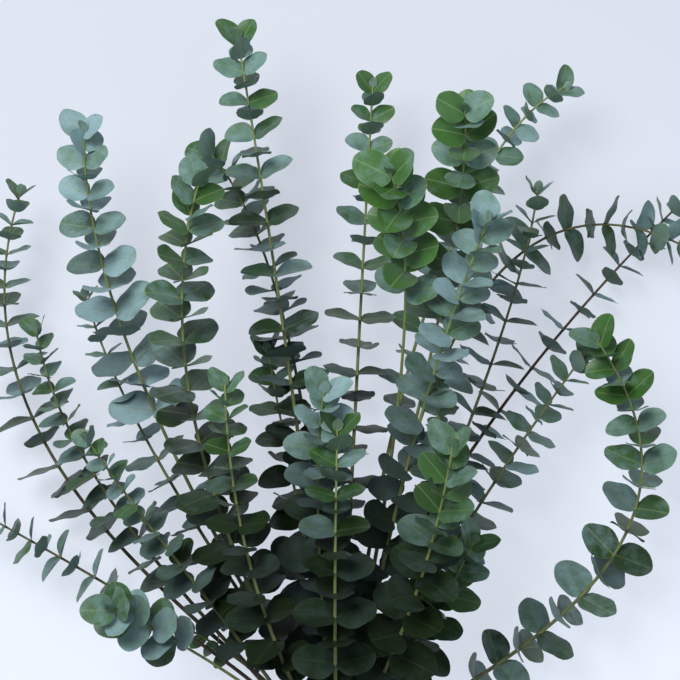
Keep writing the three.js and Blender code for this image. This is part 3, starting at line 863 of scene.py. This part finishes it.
def cut_material(colours):
    """Fresh cut wood: cream, with a fibrous grain across the face."""
    material, tree, place = new_material("fresh_cut_wood")
    fibres = add_node(tree, "ShaderNodeTexNoise", {
        "Vector": place, "Scale": 1 / WOOD_FIBRE, "Detail": 3.0, "Roughness": 0.6,
    })
    darker = add_node(tree, "ShaderNodeMapRange", {0: fibres, 1: 0.35, 2: 0.75, 4: 0.5})
    face = add_node(tree, "ShaderNodeMix", {
        0: darker, 1: colours.cut_wood, 2: colours.brown_stem,
    }, data_type="RGBA")
    bump = add_node(tree, "ShaderNodeBump", {"Strength": 0.4, "Distance": 0.15 * MM, "Height": fibres})
    shader = add_node(tree, "ShaderNodeBsdfPrincipled", {
        "Base Color": face, "Roughness": 0.8, "Normal": bump,
    })
    add_node(tree, "ShaderNodeOutputMaterial", {"Surface": shader})
    return material


def twine_material(colours):
    """Jute: dull golden fibres, lighter and darker along the strand."""
    material, tree, place = new_material("jute_twine")
    fibres = add_node(tree, "ShaderNodeTexNoise", {
        "Vector": place, "Scale": 1 / JUTE_FIBRE, "Detail": 4.0, "Roughness": 0.7,
    })
    shade = add_node(tree, "ShaderNodeMapRange", {0: fibres, 1: 0.3, 2: 0.7, 4: 0.6})
    fibre = add_node(tree, "ShaderNodeMix", {
        0: shade, 1: colours.twine, 2: colours.blemish,
    }, data_type="RGBA")
    bump = add_node(tree, "ShaderNodeBump", {"Strength": 0.8, "Distance": 0.3 * MM, "Height": fibres})
    shader = add_node(tree, "ShaderNodeBsdfPrincipled", {
        "Base Color": fibre, "Roughness": 0.9, "Normal": bump, "Sheen Weight": 0.2,
    })
    add_node(tree, "ShaderNodeOutputMaterial", {"Surface": shader})
    return material


def paper_material(colours):
    """Matt paper on a light table, so shadows on it are faint; it is brightest at the near edge."""
    material, tree, place = new_material("lit_matt_paper")
    along = add_node(tree, "ShaderNodeSeparateXYZ", {0: place}).outputs["Y"]
    glow = add_node(tree, "ShaderNodeMapRange", {
        0: along, 1: NEAR_EDGE, 2: FAR_EDGE, 3: NEAR_GLOW, 4: FAR_GLOW,
    }, interpolation_type="SMOOTHSTEP")
    dimmed = [PAPER_DIMMING * channel for channel in colours.floor[:3]] + [1]
    shader = add_node(tree, "ShaderNodeBsdfPrincipled", {
        "Base Color": dimmed, "Roughness": 0.9, "Specular IOR Level": 0.1,
        "Emission Color": colours.floor, "Emission Strength": glow,
    })
    add_node(tree, "ShaderNodeOutputMaterial", {"Surface": shader})
    return material


# ---- Tie ----

TWINE_STEPS_PER_LAY = 9
TURN_PITCH = 1.04  # from one turn to the next, in twine diameters
STRAND_RADIUS = 0.27  # of a strand, and of the helix that it runs in, in twine diameters
OFF_AXIS = Vector((0.31, 0.95, 0.05))  # a direction that the twine hardly ever runs in
STRAND_SIDES = 6
KNOT_STEPS = 96
KNOT_BENDS = 1.15  # how strongly the knot's line bends back to cross itself
KNOT_SIZE = (1.36, 1.054, 0.42)  # of its loops across, along and up, in twine diameters
KNOT_LIFT = 0.55  # of its middle line over the turns, in twine diameters


def wound_path(sizes):
    """The twine's middle line: turns laid side by side round the bundle."""
    radius = (TIE_HIGH.x - TIE_LOW.x) / 2 - sizes.twine / 2
    around = 2 * math.pi * radius
    total = around * sizes.turns
    steps = int(total / sizes.lay * TWINE_STEPS_PER_LAY)
    pitch = sizes.twine * TURN_PITCH
    points = []
    for i in range(steps + 1):
        turn = sizes.turns * i / steps
        angle = 2 * math.pi * turn - math.pi / 2
        offset = (turn - sizes.turns / 2) * pitch
        points.append(TIE_MIDDLE + Vector((
            radius * math.cos(angle), offset, radius * math.sin(angle),
        )))
    return points


def knot_path(sizes):
    """The closed middle line of a flat overhand knot that lies on top of the turns."""
    top = Vector((TIE_MIDDLE.x, TIE_MIDDLE.y, TIE_HIGH.z + sizes.twine * KNOT_LIFT))
    across, along, over = (share * sizes.twine for share in KNOT_SIZE)
    points = []
    for i in range(KNOT_STEPS + 1):
        angle = 2 * math.pi * i / KNOT_STEPS
        points.append(top + Vector((
            across * (math.sin(angle) + KNOT_BENDS * math.sin(2 * angle)),
            along * (math.cos(angle) - KNOT_BENDS * math.cos(2 * angle)),
            -over * math.sin(3 * angle),
        )))
    return points


def strand_points(middle, sizes, strand):
    """One strand, twisted round the twine's middle line."""
    radius = sizes.twine * STRAND_RADIUS
    travelled = 0
    points = []
    for i, point in enumerate(middle):
        after = middle[min(i + 1, len(middle) - 1)]
        before = middle[max(i - 1, 0)]
        along = (after - before).normalized()
        side = along.cross(OFF_AXIS).normalized()
        other = along.cross(side)
        if i:
            travelled += (point - middle[i - 1]).length
        angle = 2 * math.pi * (travelled / sizes.lay + strand / sizes.strands)
        points.append(point + radius * (side * math.cos(angle) + other * math.sin(angle)))
    return points


def tie_lines(sizes):
    """All strands of the turns and of the knot as one mesh of lines."""
    points, edges = [], []
    for middle in (wound_path(sizes), knot_path(sizes)):
        for strand in range(sizes.strands):
            first = len(points)
            points += strand_points(middle, sizes, strand)
            edges += [(i, i + 1) for i in range(first, len(points) - 1)]
    mesh = bpy.data.meshes.new("twine_tie_visual")
    mesh.from_pydata(points, edges, [])
    point_attribute(mesh, "width", [sizes.twine * STRAND_RADIUS] * len(points))
    point_attribute(mesh, "cut", [0.0] * len(points))
    return mesh


# ---- Stage ----

FLOOR_SIZE = 48
SENSOR_WIDTH = 36  # mm
CAMERA_HEIGHT = 1.6
VIEW_WIDTH = 0.530  # what the view takes in at the leaves' mean height
LEAF_MEAN_HEIGHT = 0.1
VIEW_MIDDLE = (2, 359)  # mm from the tie's middle
SOFT_LIGHTS = (
    dict(name="key", place=(-0.7, 0.9, 1.9), size=1.0, power=46, tint=(1.0, 0.98, 0.95)),
    dict(name="fill", place=(1.1, -0.3, 1.7), size=1.8, power=12, tint=(0.92, 0.96, 1.0)),
)
SKY_TINT = (0.84, 0.88, 1.0, 1)
SKY_STRENGTH = 0.36


def add_floor(colours):
    mesh = bpy.data.meshes.new("floor")
    half = FLOOR_SIZE / 2
    mesh.from_pydata([(-half, -half, 0), (half, -half, 0), (half, half, 0), (-half, half, 0)],
                     [], [(0, 1, 2, 3)])
    floor = bpy.data.objects.new("floor", mesh)
    bpy.context.scene.collection.objects.link(floor)
    mesh.materials.append(paper_material(colours))


def add_camera():
    lens = bpy.data.cameras.new("camera")
    lens.sensor_width = SENSOR_WIDTH
    lens.lens = SENSOR_WIDTH * CAMERA_HEIGHT / VIEW_WIDTH
    camera = bpy.data.objects.new("camera", lens)
    camera.location = from_tie((*VIEW_MIDDLE, 0)) + UP * (LEAF_MEAN_HEIGHT + CAMERA_HEIGHT)
    bpy.context.scene.collection.objects.link(camera)
    bpy.context.scene.camera = camera


def add_soft_light(name, place, size, power, tint):
    """A square soft box that faces the middle of the bunch."""
    light = bpy.data.lights.new(name, "AREA")
    light.size = size
    light.energy = power
    light.color = tint
    lamp = bpy.data.objects.new(name, light)
    lamp.location = place
    lamp.rotation_euler = (-Vector(place)).to_track_quat("-Z", "Y").to_euler()
    bpy.context.scene.collection.objects.link(lamp)


def add_sky():
    world = bpy.data.worlds.new("studio")
    world.use_nodes = True
    background = world.node_tree.nodes["Background"]
    background.inputs["Color"].default_value = SKY_TINT
    background.inputs["Strength"].default_value = SKY_STRENGTH
    bpy.context.scene.world = world


# ---- Operators ----


class EUCALYPTUS_OT_grow_stems(Operator):
    """Grow the stem of every branch"""

    bl_idname = "eucalyptus.grow_stems"
    bl_label = "Grow stems"

    def execute(self, context):
        settings = context.scene.eucalyptus
        tree = swept_tree()
        bark = bark_material(settings.colours)
        cut = cut_material(settings.colours)
        for number, branch, path, seats in grown_branches(settings.leaf):
            stations = stem_stations(number, path, seats, settings.stem)
            line = stem_line(f"stem_{number:02d}_line", with_ends(stations), branch["wood"])
            piece = grow(f"stem_{number:02d}", line, tree, {
                "Sides": settings.stem.sides, "Bark": bark, "Cut": cut,
            })
            hand_over(piece, f"branch_{number:02d}")
        return {"FINISHED"}


class EUCALYPTUS_OT_grow_leaves(Operator):
    """Grow the leaf pairs of every branch"""

    bl_idname = "eucalyptus.grow_leaves"
    bl_label = "Grow leaves"

    def execute(self, context):
        settings = context.scene.eucalyptus
        tree = leafy_tree()
        blade = leaf_material(settings.colours)
        shapes = leaf_collection(settings.leaf.thickness)
        for number, branch, _, seats in grown_branches(settings.leaf):
            points = leaf_points(f"leaves_{number:02d}_points", branch, number, seats)
            piece = grow(f"leaves_{number:02d}", points, tree, {
                "Leaf shapes": shapes, "Leaf": blade, "Floor": LEAF_CLEARANCE, "Seed": number,
            })
            hand_over(piece, f"branch_{number:02d}")
        return {"FINISHED"}


class EUCALYPTUS_OT_wind_twine(Operator):
    """Wind and knot the twine that holds the stems"""

    bl_idname = "eucalyptus.wind_twine"
    bl_label = "Wind twine"

    def execute(self, context):
        settings = context.scene.eucalyptus
        jute = twine_material(settings.colours)
        piece = grow("wound_twine", tie_lines(settings.tie), swept_tree(), {
            "Sides": STRAND_SIDES, "Bark": jute, "Cut": jute,
        })
        hand_over(piece, "twine_tie")
        return {"FINISHED"}


class EUCALYPTUS_OT_set_stage(Operator):
    """Set the floor, the soft lights and the camera"""

    bl_idname = "eucalyptus.set_stage"
    bl_label = "Set stage"

    def execute(self, context):
        add_floor(context.scene.eucalyptus.colours)
        add_sky()
        for light in SOFT_LIGHTS:
            add_soft_light(**light)
        add_camera()
        context.scene.view_settings.view_transform = "Standard"
        return {"FINISHED"}


class EUCALYPTUS_PT_panel(Panel):
    """Lists the steps that build the bunch"""

    bl_label = "Tied eucalyptus branches"
    bl_space_type = "VIEW_3D"
    bl_region_type = "UI"
    bl_category = "Eucalyptus"

    def draw(self, context):
        settings = context.scene.eucalyptus
        for group in (settings.stem, settings.leaf, settings.tie, settings.colours):
            box = self.layout.box()
            for name in group.__annotations__:
                box.prop(group, name)
        for operator in OPERATORS:
            self.layout.operator(operator.bl_idname)


OPERATORS = (
    EUCALYPTUS_OT_grow_stems,
    EUCALYPTUS_OT_grow_leaves,
    EUCALYPTUS_OT_wind_twine,
    EUCALYPTUS_OT_set_stage,
)
CLASSES = (
    StemSizes, LeafSizes, TieSizes, PlantColours, BunchSettings, *OPERATORS, EUCALYPTUS_PT_panel,
)


def register():
    for cls in CLASSES:
        bpy.utils.register_class(cls)
    bpy.types.Scene.eucalyptus = PointerProperty(type=BunchSettings)


def unregister():
    del bpy.types.Scene.eucalyptus
    for cls in reversed(CLASSES):
        bpy.utils.unregister_class(cls)


def main():
    register()
    bpy.ops.eucalyptus.set_stage()
    bpy.ops.eucalyptus.grow_stems()
    bpy.ops.eucalyptus.grow_leaves()
    bpy.ops.eucalyptus.wind_twine()


if __name__ == "__main__":
    main()
